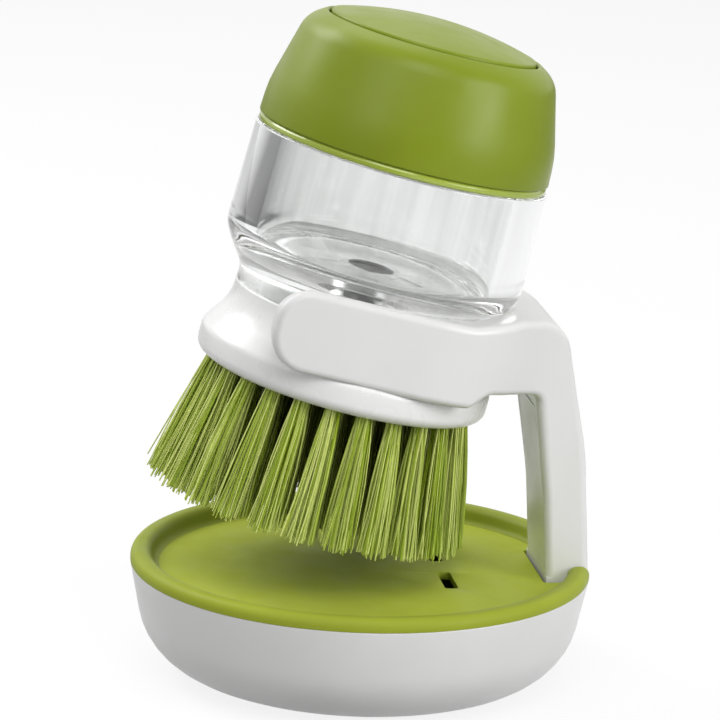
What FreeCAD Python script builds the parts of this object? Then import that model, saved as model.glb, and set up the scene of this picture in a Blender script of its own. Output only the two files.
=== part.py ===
import FreeCAD, Part
import math
import os

Vector = FreeCAD.Vector
UP = Vector(0, 0, 1)
ORIGIN = Vector(0, 0, 0)

# Clearances, and how far every cutter runs past what it cuts
SLIDE_CLEARANCE = 0.35
RUN_CLEARANCE = 0.3
FIT_CLEARANCE = 0.1
CUT_OVERRUN = 6.0

# Bowl and the non-slip pad under it
BASE_RADIUS = 47.5
BOWL_HEIGHT = 22.5
BOWL_WALL = 2.4
BOWL_LEAN = 4.4
BOWL_ROUND = 15.0
PAD_RADIUS = 27.0
PAD_THICKNESS = 1.4
PAD_STANDOUT = 0.4

# Drip tray on the bowl
TRAY_FLOOR_DROP = 0.8
TRAY_THICKNESS = 1.6
TRAY_RIM_HEIGHT = 2.6
TRAY_RIM_WIDTH = 4.0
TRAY_RIM_ROUND = 1.9
TRAY_COVE_ROUND = 1.6
TRAY_COVE_WIDTH = 1.0
TRAY_SKIRT_DEPTH = 4.0
TRAY_SKIRT_WALL = 1.8
DRAIN_LENGTH = 11.4
DRAIN_WIDTH = 2.8
DRAIN_ROUND = 0.8
DRAIN_FORWARD = 16.8
DRAIN_SIDE = 9.7

# Parking pose of the brush: its tilt, and the lowest bristle above the tray
BRUSH_TILT_DEGREES = 13.0
BRISTLE_CLEARANCE = 6.0
PARK_SETBACK = 5.85

# Brush head, upright frame with zero at the face that carries the bristles
HEAD_UNDER_RADIUS = 28.4
HEAD_RIM_RADIUS = 30.4
HEAD_RIM_LOW = 0.9
HEAD_RIM_HEIGHT = 5.6
HEAD_RIM_ROUND = 2.3
HEAD_EDGE_ROUND = 0.6
FLARE_RISE = 6.4
FLARE_ROUND = 10.0
NECK_RADIUS = 26.0
HEAD_HEIGHT = 16.0
HEAD_FLOOR = 3.0
PLATE_RADIUS = 27.5
PLATE_THICKNESS = 3.6
SEAL_THICKNESS = 1.4

# Outlet valve in the middle of the head
VALVE_BORE = 6.0
VALVE_FLANGE_RADIUS = 8.8
VALVE_FLANGE = 1.2
VALVE_WALL = 1.1
BILL_DROP = 6.0
BILL_WIDTH = 7.0
BILL_THICKNESS = 2.0
RETAINER_THICKNESS = 1.6
RETAINER_WALL = 1.6
RETAINER_HOLE = 4.6
BOSS_WALL = 1.5

# Bristle tufts
BRISTLE_LENGTH = 26.6
TUFT_OUTER_ROOT_RADIUS = 25.7
TUFT_RING_STEP = 5.0
TUFT_ROOT = 1.6
TUFT_TIP = 2.7
TUFT_COUNTS = (25, 20, 15, 10)
TUFT_NAMES = ("tufts_outer", "tufts_second", "tufts_third", "tufts_inner")
TIP_SPREAD_SHARE = 1.2

# Clear soap tank
TANK_RADIUS = 30.9
TANK_TOP_RADIUS = 30.4
TANK_TOP = 48.6
WAIST_RISE = 2.5
WAIST_DEPTH = 0.5
WAIST_ROUND = 11.0
SHOULDER_RISE = 10.3
SHOULDER_ROUND = 6.0
TANK_FLOOR_RISE = 10.0
TANK_FLOOR_THICKNESS = 2.6
FLOOR_COVE_ROUND = 2.0
FUNNEL_DROP = 1.2
OUTLET_WALL = 2.0
HOLLOW_ROUND = 3.0
SPIGOT_WALL = 2.8
COLLAR_WALL = 2.3
MOUTH_RADIUS = 26.9
MOUTH_WALL = 2.2
THREAD_DEPTH = 0.9
MOUTH_HEIGHT = 7.9
TANK_EDGE_ROUND = 0.4

# Screw cap, its seal and the air pump inside it
CAP_RADIUS = 30.2
CAP_GAP = 0.15
CAP_COLLAR_HEIGHT = 1.5
CAP_COLLAR_STEP = 0.25
CAP_WAIST_HEIGHT = 6.0
CAP_WAIST_INSET = 0.3
CAP_TOP_HEIGHT = 20.8
CAP_TOP_RADIUS = 26.0
CAP_CROWN = 2.7
CAP_WAIST_ROUND = 25.0
CAP_TOP_ROUND = 8.0
CAP_EDGE_ROUND = 0.5
CAP_LIP = 3.4
CAP_CAVITY_RADIUS = 24.0
CAP_DECK = 2.1
GASKET_THICKNESS = 1.2
BUTTON_RADIUS = 21.3
BUTTON_GAP = 0.4
BUTTON_CROWN = 3.1
BUTTON_WALL = 1.8
BUTTON_EDGE_ROUND = 0.6
BUTTON_FLANGE = 1.9
BUTTON_FLANGE_STEP = 1.9
BUTTON_STOP_GAP = 0.2
BUTTON_BOSS_RADIUS = 8.0
BELLOWS_RADIUS = 14.5
BELLOWS_FOLD = 3.2
BELLOWS_WALL = 1.2
BELLOWS_FLANGE_RADIUS = 21.0
BELLOWS_HEIGHT = 10.0
BELLOWS_FOLDS = 2
CLAMP_THICKNESS = 1.6
CLAMP_WIDTH = 7.6
SPRING_WIRE_RADIUS = 0.5
SPRING_RADIUS = 18.2
SPRING_TURNS = 4

# Stand arm: leg, shoulder and fork, fork sizes in the frame of the brush
LEG_WIDTH = 22.0
LEG_THICKNESS = 9.0
LEG_OUTER_BEND_HEIGHT = 27.0
LEG_OUTER_BEND_LEAN = 2.0
LEG_INNER_BEND_HEIGHT = 17.5
LEG_INNER_BEND_LEAN = 1.3
LEG_BEND_ROUND = 60.0
LEG_CHANNEL_DEPTH = 1.6
LEG_CHANNEL_MARGIN = 1.6
LEG_CHANNEL_TOP = 3.0
LEG_COVER_GAP = 0.3
LEG_PLUG_DEPTH = 5.0
LEG_PLUG_THICKNESS = 5.4
TENON_THICKNESS = 4.0
TENON_WIDTH = 16.0
TENON_DEPTH = 7.0
SOCKET_WALL = 2.4
NOTCH_GAP = 0.6
FORK_GAP = 0.5
FORK_HEIGHT = 16.7
FORK_HALF_WIDTH = 30.5
PRONG_REACH = 21.4
PRONG_TOP_ROUND = 7.0
PRONG_LOW_ROUND = 7.5
SEAT_RISE = 2.2
SEAT_START = 18.0
SEAT_END = 28.0
SEAT_ROUND = 3.0
ARM_REACH = 39.7
ARM_ROUND = 13.5
ARCH_START = 21.0
ARCH_RISE = 3.2
ARCH_RUN = 3.5
ARCH_ROUND = 2.6
ARCH_REACH = 37.4
WRAP_BEND = 21.0
WRAP_ROUND = 28.0
WRAP_END = 40.0
WRAP_BLEND_ROUND = 22.0
ARM_EDGE_ROUND = 1.6

# How much of a side a rounded corner may use, and where an edge counts as sharp
SHARED_SIDE_SHARE = 0.49
WHOLE_SIDE_SHARE = 0.98
SHARP_DEGREES = 20


def arc_in_corner(start, corner, end):
    """Arc that touches both sides of a corner, from start to end, both as far from it."""
    back = start - corner
    ahead = end - corner
    half = back.getAngle(ahead) / 2
    radius = back.Length * math.tan(half)
    inward = back + ahead
    inward.normalize()
    middle = corner + inward * (radius / math.sin(half) - radius)
    return Part.Arc(start, middle, end).toShape()


def rounding_ends(before, corner, after):
    """Start and end of the arc that rounds the middle one of three corners."""
    back = before[0] - corner[0]
    ahead = after[0] - corner[0]
    reach = min(
        back.Length * (SHARED_SIDE_SHARE if before[1] else WHOLE_SIDE_SHARE),
        ahead.Length * (SHARED_SIDE_SHARE if after[1] else WHOLE_SIDE_SHARE),
    )
    back.normalize()
    ahead.normalize()
    tangent = min(corner[1] / math.tan(back.getAngle(ahead) / 2), reach)
    return corner[0] + back * tangent, corner[0] + ahead * tangent


def rounded_face(corners):
    """Flat face through (point, round) corners, round zero for a sharp one."""
    count = len(corners)
    ends = []
    edges = []
    for i in range(count):
        corner, radius = corners[i]
        if radius == 0:
            ends.append((corner, corner))
            continue
        start, end = rounding_ends(corners[i - 1], corners[i], corners[(i + 1) % count])
        ends.append((start, end))
        edges.append(arc_in_corner(start, corner, end))
    for i in range(count):
        edges.append(Part.makeLine(ends[i][1], ends[(i + 1) % count][0]))
    return Part.Face(Part.Wire(Part.__sortEdges__(edges)))


def side_face(corners):
    """Face in the XZ plane from (x, z, round) corners."""
    return rounded_face([(Vector(x, 0, z), radius) for x, z, radius in corners])


def plan_face(corners, height):
    """Face at one height from (x, y, round) corners."""
    return rounded_face([(Vector(x, y, height), radius) for x, y, radius in corners])


def turned(corners):
    """Solid of revolution about Z from (radius, z, round) corners."""
    return side_face(corners).revolve(ORIGIN, UP, 360)


def ring(inner, outer, low, high):
    """Plain turned ring, or a disc where the inner radius is zero."""
    return turned([(inner, low, 0), (outer, low, 0), (outer, high, 0), (inner, high, 0)])


def block(x_low, x_high, half_width, z_low, z_high):
    """Box that lies evenly about the XZ plane."""
    corner = Vector(x_low, -half_width, z_low)
    return Part.makeBox(x_high - x_low, 2 * half_width, z_high - z_low, corner)


def is_sharp(shape, edge):
    """Whether the two faces at an edge meet at a corner."""
    middle = edge.valueAt((edge.FirstParameter + edge.LastParameter) / 2)
    faces = shape.ancestorsOfType(edge, Part.Face)
    normals = [face.normalAt(*face.Surface.parameter(middle)) for face in faces]
    return math.degrees(normals[0].getAngle(normals[-1])) > SHARP_DEGREES


# Heights up the brush axis
plate_top = PLATE_THICKNESS
head_floor_top = plate_top + HEAD_FLOOR
valve_top = head_floor_top + VALVE_FLANGE
boss_top = valve_top + RETAINER_THICKNESS
spigot_end = head_floor_top + SEAL_THICKNESS
mouth_top = TANK_TOP + MOUTH_HEIGHT
deck_low = mouth_top + GASKET_THICKNESS
deck_top = deck_low + CAP_DECK
fork_low = HEAD_RIM_HEIGHT + FORK_GAP
fork_top = fork_low + FORK_HEIGHT
seat_top = fork_top + SEAT_RISE
arch_height = fork_low + ARCH_RISE
cap_low = TANK_TOP + CAP_GAP
cap_edge = cap_low + CAP_COLLAR_HEIGHT
cap_top = cap_edge + CAP_TOP_HEIGHT
crown_edge = cap_top + CAP_CROWN
lip_low = crown_edge - CAP_LIP
bellows_top = deck_top + BELLOWS_HEIGHT
clamp_low = deck_top + BELLOWS_WALL
clamp_top = clamp_low + CLAMP_THICKNESS

# Radii on the brush
socket_radius = NECK_RADIUS - COLLAR_WALL
spigot_radius = socket_radius - FIT_CLEARANCE
spigot_bore = spigot_radius - SPIGOT_WALL
retainer_radius = VALVE_FLANGE_RADIUS + FIT_CLEARANCE + RETAINER_WALL
boss_bore = retainer_radius + FIT_CLEARANCE
mouth_bore = MOUTH_RADIUS - MOUTH_WALL
cap_bore = MOUTH_RADIUS + THREAD_DEPTH + RUN_CLEARANCE
cap_opening = BUTTON_RADIUS + BUTTON_GAP

# Outside of the head and of the tank, shared with the fork that grips them
head_outside = [
    (HEAD_UNDER_RADIUS, 0, HEAD_EDGE_ROUND),
    (HEAD_RIM_RADIUS, HEAD_RIM_LOW, HEAD_RIM_ROUND),
    (HEAD_RIM_RADIUS, HEAD_RIM_HEIGHT, HEAD_RIM_ROUND),
    (NECK_RADIUS, HEAD_RIM_HEIGHT + FLARE_RISE, FLARE_ROUND),
    (NECK_RADIUS, HEAD_HEIGHT, 0),
]
tank_outside = [
    (NECK_RADIUS, HEAD_HEIGHT, 0),
    (NECK_RADIUS - WAIST_DEPTH, HEAD_HEIGHT + WAIST_RISE, WAIST_ROUND),
    (TANK_RADIUS, HEAD_HEIGHT + SHOULDER_RISE, SHOULDER_ROUND),
    (TANK_TOP_RADIUS, TANK_TOP, TANK_EDGE_ROUND),
]

# Where the parked brush stands: its tilt and the foot of its axis
tilt = math.radians(BRUSH_TILT_DEGREES)
tray_floor_top = BOWL_HEIGHT - TRAY_FLOOR_DROP
tray_floor_low = tray_floor_top - TRAY_THICKNESS
tip_radius = TUFT_OUTER_ROOT_RADIUS * TIP_SPREAD_SHARE + TUFT_TIP
park_height = tray_floor_top + BRISTLE_CLEARANCE
park_height += BRISTLE_LENGTH * math.cos(tilt) + tip_radius * math.sin(tilt)
park = FreeCAD.Placement(
    Vector(-PARK_SETBACK, 0, park_height), FreeCAD.Rotation(Vector(0, 1, 0), BRUSH_TILT_DEGREES)
)


def parked(shape):
    """The shape moved from the upright brush frame to the parking pose."""
    return shape.transformed(park.toMatrix())


def parked_point(x, z):
    """A point of the upright brush frame, in the XZ plane, as parked."""
    point = park.multVec(Vector(x, 0, z))
    return point.x, point.z


def brush_head():
    """Flared head with a socket for the tank and a recess for the bristle plate."""
    inside = [
        (socket_radius, HEAD_HEIGHT, 0),
        (socket_radius, head_floor_top, 0),
        (boss_bore + BOSS_WALL, head_floor_top, 0),
        (boss_bore + BOSS_WALL, boss_top, 0),
        (boss_bore, boss_top, 0),
        (boss_bore, head_floor_top, 0),
        (VALVE_BORE, head_floor_top, 0),
        (VALVE_BORE, plate_top, 0),
        (PLATE_RADIUS, plate_top, 0),
        (PLATE_RADIUS, 0, 0),
    ]
    return turned(head_outside + inside)


def bristle_plate():
    """Disc that carries the tufts, with a hole for the valve."""
    return ring(VALVE_BORE, PLATE_RADIUS - FIT_CLEARANCE, 0, plate_top)


def neck_seal():
    """Flat washer under the end of the tank's spigot."""
    return ring(spigot_bore, socket_radius - FIT_CLEARANCE, head_floor_top, spigot_end)


def outlet_valve():
    """Duckbill valve: flange, short tube and a flattened bill with a slit."""
    tube = VALVE_BORE - FIT_CLEARANCE
    body = ring(0, VALVE_FLANGE_RADIUS, head_floor_top, valve_top).fuse(ring(0, tube, 0, head_floor_top))
    root = Part.Wire(Part.makeCircle(tube, ORIGIN, UP))
    bill_end = block(-BILL_WIDTH / 2, BILL_WIDTH / 2, BILL_THICKNESS / 2, -BILL_DROP, 0).Faces
    lip = min(bill_end, key=lambda face: face.CenterOfMass.z).OuterWire
    bill = Part.makeLoft([root, lip], True, True)
    bore = Part.makeCone(tube - VALVE_WALL, 0, valve_top + BILL_DROP / 2, Vector(0, 0, valve_top), -UP)
    return body.fuse(bill).cut(bore).removeSplitter()


def valve_retainer():
    """Ring with a skirt that holds the valve's flange down."""
    inner = retainer_radius - RETAINER_WALL
    return turned([
        (RETAINER_HOLE, valve_top, 0),
        (inner, valve_top, 0),
        (inner, head_floor_top, 0),
        (retainer_radius, head_floor_top, 0),
        (retainer_radius, boss_top, 0),
        (RETAINER_HOLE, boss_top, 0),
    ])


def tuft_ring(index):
    """One ring of splayed tufts, each wider at its trimmed tip."""
    root_ring = TUFT_OUTER_ROOT_RADIUS - index * TUFT_RING_STEP
    count = TUFT_COUNTS[index]
    tufts = []
    for i in range(count):
        turn = 2 * math.pi * (i + index / 2) / count
        way = Vector(math.cos(turn), math.sin(turn), 0)
        root = Part.makeCircle(TUFT_ROOT, way * root_ring, UP)
        tip_centre = way * (root_ring * TIP_SPREAD_SHARE) - UP * BRISTLE_LENGTH
        tip = Part.makeCircle(TUFT_TIP, tip_centre, UP)
        tufts.append(Part.makeLoft([Part.Wire(root), Part.Wire(tip)], True, True))
    return Part.makeCompound(tufts)


def tank():
    """Thick clear tank whose floor slopes to an outlet tube, with a dry hollow inside its spigot."""
    floor_top = HEAD_HEIGHT + TANK_FLOOR_RISE
    hollow_top = floor_top - FUNNEL_DROP - TANK_FLOOR_THICKNESS
    outlet_end = boss_top + FIT_CLEARANCE
    inside = [
        (MOUTH_RADIUS, TANK_TOP, 0),
        (MOUTH_RADIUS, mouth_top, 0),
        (mouth_bore, mouth_top, 0),
        (mouth_bore, floor_top, FLOOR_COVE_ROUND),
        (RETAINER_HOLE, floor_top - FUNNEL_DROP, 0),
        (RETAINER_HOLE, outlet_end, 0),
        (RETAINER_HOLE + OUTLET_WALL, outlet_end, 0),
        (RETAINER_HOLE + OUTLET_WALL, hollow_top, 0),
        (spigot_bore, hollow_top, HOLLOW_ROUND),
        (spigot_bore, spigot_end, 0),
        (spigot_radius, spigot_end, 0),
        (spigot_radius, HEAD_HEIGHT, 0),
    ]
    return turned(tank_outside + inside)


def cap_gasket():
    """Flat ring between the tank's mouth and the deck of the cap."""
    return ring(mouth_bore, MOUTH_RADIUS, mouth_top, deck_low)


def cap_shell():
    """Screw cap with a deck for the pump and an opening for the button."""
    return turned([
        (cap_bore, cap_low, 0),
        (CAP_RADIUS - CAP_COLLAR_STEP, cap_low, 0),
        (CAP_RADIUS - CAP_COLLAR_STEP, cap_edge, 0),
        (CAP_RADIUS, cap_edge, CAP_EDGE_ROUND),
        (CAP_RADIUS - CAP_WAIST_INSET, cap_edge + CAP_WAIST_HEIGHT, CAP_WAIST_ROUND),
        (CAP_TOP_RADIUS, cap_top, CAP_TOP_ROUND),
        (cap_opening, crown_edge, BUTTON_EDGE_ROUND),
        (cap_opening, lip_low, 0),
        (CAP_CAVITY_RADIUS, lip_low, 0),
        (CAP_CAVITY_RADIUS, deck_top, 0),
        (BELLOWS_RADIUS, deck_top, 0),
        (BELLOWS_RADIUS, deck_low, 0),
        (cap_bore, deck_low, 0),
    ])


def dome_radius():
    """Radius of the ball whose cap is the button's face."""
    return (BUTTON_RADIUS ** 2 + BUTTON_CROWN ** 2) / (2 * BUTTON_CROWN)


def press_button():
    """Domed button with a skirt, a catch flange and a boss that meets the bellows."""
    ball = dome_radius()
    ball_centre = Vector(0, 0, crown_edge + BUTTON_CROWN - ball)
    flange_top = lip_low - BUTTON_STOP_GAP
    flange_low = flange_top - BUTTON_FLANGE
    outer = BUTTON_RADIUS + BUTTON_FLANGE_STEP
    blank = ring(0, BUTTON_RADIUS, flange_low, crown_edge + BUTTON_CROWN)
    face = blank.common(Part.makeSphere(ball, ball_centre))
    rim = [edge for edge in face.Edges if edge.BoundBox.ZMin > flange_top and edge.Closed]
    face = face.makeFillet(BUTTON_EDGE_ROUND, rim)
    skirt_bore = BUTTON_RADIUS - BUTTON_WALL
    hollow = ring(0, skirt_bore, flange_low - CUT_OVERRUN, crown_edge + BUTTON_CROWN)
    hollow = hollow.common(Part.makeSphere(ball - BUTTON_WALL, ball_centre))
    boss = ring(0, BUTTON_BOSS_RADIUS, bellows_top, button_underside(0))
    flange = ring(skirt_bore, outer, flange_low, flange_top)
    return face.cut(hollow).fuse([boss, flange]).removeSplitter()


def button_underside(radius):
    """Height of the button's inner face at one radius."""
    ball = dome_radius()
    return crown_edge + BUTTON_CROWN - ball + math.sqrt((ball - BUTTON_WALL) ** 2 - radius ** 2)


def bellows():
    """Folded pump bellows standing on its flange, closed at the top."""
    step = (BELLOWS_HEIGHT - 2 * BELLOWS_WALL) / (2 * BELLOWS_FOLDS)
    outside = [(BELLOWS_RADIUS, clamp_low, 0)]
    for i in range(2 * BELLOWS_FOLDS):
        inset = BELLOWS_FOLD if i % 2 == 0 else 0
        outside.append((BELLOWS_RADIUS - inset, clamp_low + (i + 1) * step, 0))
    wall = [(radius - BELLOWS_WALL, z, 0) for radius, z, _ in reversed(outside)]
    wall[-1] = (BELLOWS_RADIUS - BELLOWS_WALL, deck_top, 0)
    crown = [(BELLOWS_RADIUS, bellows_top, 0), (0, bellows_top, 0), (0, bellows_top - BELLOWS_WALL, 0)]
    foot = [(BELLOWS_FLANGE_RADIUS, deck_top, 0), (BELLOWS_FLANGE_RADIUS, clamp_low, 0)]
    return turned(outside + crown + wall + foot)


def clamp_ring():
    """Ring pressed into the cap over the flange of the bellows."""
    outer = CAP_CAVITY_RADIUS - FIT_CLEARANCE
    return ring(outer - CLAMP_WIDTH, outer, clamp_low, clamp_top)


def biarc(start, start_way, end, end_way):
    """Two arcs that join two points and leave and reach them in the given ways."""
    chord = end - start
    both = start_way + end_way
    spread = 2 * (1 - start_way.dot(end_way))
    along = chord.dot(both)
    tangent = (math.sqrt(along ** 2 + spread * chord.dot(chord)) - along) / spread
    first = start + start_way * tangent
    second = end - end_way * tangent
    joint = (first + second) * 0.5
    return [arc_in_corner(start, first, joint), arc_in_corner(joint, second, end)]


def return_spring():
    """Round-wire spring between the clamp ring and the button, drawn in half turns."""
    low = clamp_top + SPRING_WIRE_RADIUS
    high = button_underside(SPRING_RADIUS + SPRING_WIRE_RADIUS) - SPRING_WIRE_RADIUS - RUN_CLEARANCE
    halves = 2 * SPRING_TURNS
    climb = (high - low) / halves
    points = []
    ways = []
    for i in range(halves + 1):
        side = (-1) ** i
        way = Vector(0, side * SPRING_RADIUS * math.pi, climb)
        way.normalize()
        points.append(Vector(side * SPRING_RADIUS, 0, low + i * climb))
        ways.append(way)
    arcs = []
    for i in range(halves):
        arcs.extend(biarc(points[i], ways[i], points[i + 1], ways[i + 1]))
    wire = Part.Wire(Part.makeCircle(SPRING_WIRE_RADIUS, points[0], ways[0]))
    return Part.Wire(arcs).makePipeShell([wire], True, False)


def bowl_solid(inset):
    """The bowl's outer form, or the form of its hollow where inset by the wall."""
    low = PAD_STANDOUT + inset
    top = BASE_RADIUS - inset
    return turned([
        (0, low, 0),
        (top - BOWL_LEAN, low, BOWL_ROUND - inset),
        (top, BOWL_HEIGHT, 0),
        (0, BOWL_HEIGHT, 0),
    ])


# Stations of the leg across the stand, and its inner face from the foot to the arch
leg_half = LEG_WIDTH / 2
leg_outer = math.sqrt(BASE_RADIUS ** 2 - leg_half ** 2)
leg_inner = leg_outer - LEG_THICKNESS
leg_inside = [
    (leg_inner, BOWL_HEIGHT, 0),
    (leg_inner - LEG_INNER_BEND_LEAN, BOWL_HEIGHT + LEG_INNER_BEND_HEIGHT, LEG_BEND_ROUND),
    (*parked_point(ARCH_REACH, arch_height), ARCH_ROUND),
]
plug_low = BOWL_HEIGHT - LEG_PLUG_DEPTH
tenon_low = plug_low - TENON_DEPTH


def base_bowl():
    """Bowl with a pad recess underneath and a socket for the leg's tenon."""
    shell = bowl_solid(0).cut(bowl_solid(BOWL_WALL))
    post = block(leg_inner - SOCKET_WALL, BASE_RADIUS, TENON_WIDTH / 2 + SOCKET_WALL, 0, plug_low)
    pocket = block(
        leg_inner - FIT_CLEARANCE,
        leg_inner + TENON_THICKNESS + FIT_CLEARANCE,
        TENON_WIDTH / 2 + FIT_CLEARANCE,
        tenon_low - FIT_CLEARANCE,
        plug_low + CUT_OVERRUN,
    )
    recess = ring(0, PAD_RADIUS + FIT_CLEARANCE, -CUT_OVERRUN, PAD_THICKNESS)
    return shell.fuse(post.common(bowl_solid(0))).cut(pocket).cut(recess).removeSplitter()


def non_slip_pad():
    """Soft disc in the recess under the bowl, standing just proud of it."""
    return ring(0, PAD_RADIUS, 0, PAD_THICKNESS)


def drip_tray():
    """Tray with a bead rim, a skirt inside the bowl, two drains and a notch for the leg."""
    rim_top = BOWL_HEIGHT + TRAY_RIM_HEIGHT
    rim_inner = BASE_RADIUS - TRAY_RIM_WIDTH
    skirt = BASE_RADIUS - BOWL_WALL - BOWL_LEAN * TRAY_SKIRT_DEPTH / BOWL_HEIGHT - SLIDE_CLEARANCE
    body = turned([
        (0, tray_floor_low, 0),
        (skirt - TRAY_SKIRT_WALL, tray_floor_low, 0),
        (skirt - TRAY_SKIRT_WALL, BOWL_HEIGHT - TRAY_SKIRT_DEPTH, 0),
        (skirt, BOWL_HEIGHT - TRAY_SKIRT_DEPTH, 0),
        (skirt, BOWL_HEIGHT, 0),
        (BASE_RADIUS, BOWL_HEIGHT, 0),
        (BASE_RADIUS, rim_top, TRAY_RIM_ROUND),
        (rim_inner, rim_top, TRAY_RIM_ROUND),
        (rim_inner - TRAY_COVE_WIDTH, tray_floor_top, TRAY_COVE_ROUND),
        (0, tray_floor_top, 0),
    ])
    notch = block(
        leg_inner - NOTCH_GAP,
        BASE_RADIUS + CUT_OVERRUN,
        leg_half + NOTCH_GAP,
        plug_low - CUT_OVERRUN,
        rim_top + CUT_OVERRUN,
    )
    body = body.cut(notch)
    near = DRAIN_FORWARD - DRAIN_WIDTH / 2
    far = DRAIN_FORWARD + DRAIN_WIDTH / 2
    for side in (-1, 1):
        low = side * DRAIN_SIDE - DRAIN_LENGTH / 2
        high = side * DRAIN_SIDE + DRAIN_LENGTH / 2
        outline = [
            (near, low, DRAIN_ROUND),
            (far, low, DRAIN_ROUND),
            (far, high, DRAIN_ROUND),
            (near, high, DRAIN_ROUND),
        ]
        drain = plan_face(outline, tray_floor_low - CUT_OVERRUN)
        body = body.cut(drain.extrude(UP * (TRAY_THICKNESS + 2 * CUT_OVERRUN)))
    return body.removeSplitter()


def brush_way():
    """Room that the brush takes up parked and on its way out of the fork."""
    gripped = [(HEAD_RIM_RADIUS, 0, 0)] + head_outside[2:-1] + tank_outside[1:]
    grown = [(radius + SLIDE_CLEARANCE, z, turn) for radius, z, turn in gripped]
    mirrored = [(-radius, z, turn) for radius, z, turn in reversed(grown)]
    seat = turned([(0, 0, 0)] + grown + [(0, TANK_TOP, 0)])
    slot = side_face(grown + mirrored)
    slot.rotate(ORIGIN, UP, 90)
    far = PRONG_REACH + CUT_OVERRUN
    return seat, slot.extrude(Vector(-far, 0, 0))


def leg_channel(inset):
    """Room of the channel down the inner face of the leg, or of the cover in it where inset."""
    depth = LEG_CHANNEL_DEPTH - inset
    half = leg_half - LEG_CHANNEL_MARGIN - inset
    low = tray_floor_low + inset
    arch_z = leg_inside[-1][1]
    near = min(x for x, _, _ in leg_inside) - CUT_OVERRUN
    floor = [(x + depth, z, turn) for x, z, turn in leg_inside]
    face = side_face([(near, low, 0), (leg_inner + depth, low, 0)] + floor + [(near, arch_z, 0)])
    face.translate(Vector(0, -half, 0))
    room = face.extrude(Vector(0, 2 * half, 0))
    return room.common(block(near, leg_outer, half, low, arch_z - LEG_CHANNEL_TOP - inset))


def arm_blank():
    """Leg with a plug and tenon, a rounded shoulder and a fork for the neck, without its channel."""
    outline = [
        (leg_outer, BOWL_HEIGHT, 0),
        (leg_outer - LEG_OUTER_BEND_LEAN, BOWL_HEIGHT + LEG_OUTER_BEND_HEIGHT, LEG_BEND_ROUND),
        (*parked_point(ARM_REACH, seat_top), ARM_ROUND),
        (*parked_point(SEAT_END, seat_top), SEAT_ROUND),
        (*parked_point(SEAT_START, fork_top), SEAT_ROUND),
        (*parked_point(-PRONG_REACH, fork_top), PRONG_TOP_ROUND),
        (*parked_point(-PRONG_REACH, fork_low), PRONG_LOW_ROUND),
        (*parked_point(ARCH_START, fork_low), ARCH_ROUND),
        (*parked_point(ARCH_START + ARCH_RUN, arch_height), ARCH_ROUND),
    ]
    slab = side_face(outline + leg_inside[::-1])
    slab.translate(Vector(0, -FORK_HALF_WIDTH - CUT_OVERRUN, 0))
    slab = slab.extrude(Vector(0, 2 * (FORK_HALF_WIDTH + CUT_OVERRUN), 0))
    far = BASE_RADIUS + PRONG_REACH + CUT_OVERRUN
    half_plan = [
        (-far, -FORK_HALF_WIDTH, 0),
        (WRAP_BEND, -FORK_HALF_WIDTH, WRAP_ROUND),
        (WRAP_END, -leg_half, WRAP_BLEND_ROUND),
        (far, -leg_half, 0),
    ]
    plan = half_plan + [(x, -y, turn) for x, y, turn in reversed(half_plan)]
    column = parked(plan_face(plan, -far).extrude(UP * (2 * far)))
    body = slab.common(column)
    rounded = [edge for edge in body.Edges if edge.BoundBox.ZMax > BOWL_HEIGHT + CUT_OVERRUN]
    body = body.makeFillet(ARM_EDGE_ROUND, [edge for edge in rounded if is_sharp(body, edge)])
    for cutter in brush_way():
        body = body.cut(parked(cutter))
    plug = block(leg_inner, leg_inner + LEG_PLUG_THICKNESS, leg_half, plug_low, BOWL_HEIGHT)
    tenon = block(leg_inner, leg_inner + TENON_THICKNESS, TENON_WIDTH / 2, tenon_low, plug_low)
    return body.fuse([plug, tenon]).removeSplitter()


def stand_arm(blank):
    """The arm with the channel cut into its leg."""
    return blank.cut(leg_channel(0)).removeSplitter()


def leg_cover(blank):
    """Strip that closes the channel, flush with the inner face of the leg."""
    return blank.common(leg_channel(LEG_COVER_GAP)).removeSplitter()


brush_parts = {
    "brush_head": brush_head(),
    "bristle_plate": bristle_plate(),
    "neck_seal": neck_seal(),
    "outlet_valve": outlet_valve(),
    "valve_retainer": valve_retainer(),
    "tank": tank(),
    "cap_gasket": cap_gasket(),
    "cap_shell": cap_shell(),
    "press_button": press_button(),
    "bellows": bellows(),
    "clamp_ring": clamp_ring(),
    "return_spring": return_spring(),
}
for index, name in enumerate(TUFT_NAMES):
    brush_parts[name] = tuft_ring(index)

parts = {name: parked(shape) for name, shape in brush_parts.items()}
parts["base_bowl"] = base_bowl()
parts["non_slip_pad"] = non_slip_pad()
parts["drip_tray"] = drip_tray()
blank = arm_blank()
parts["stand_arm"] = stand_arm(blank)
parts["leg_cover"] = leg_cover(blank)

os.makedirs("parts", exist_ok=True)
for name, shape in parts.items():
    shape.exportStep("parts/" + name + ".step")
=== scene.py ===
import bmesh
import bpy
import math
import random
from mathutils import Matrix, Vector

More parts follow.
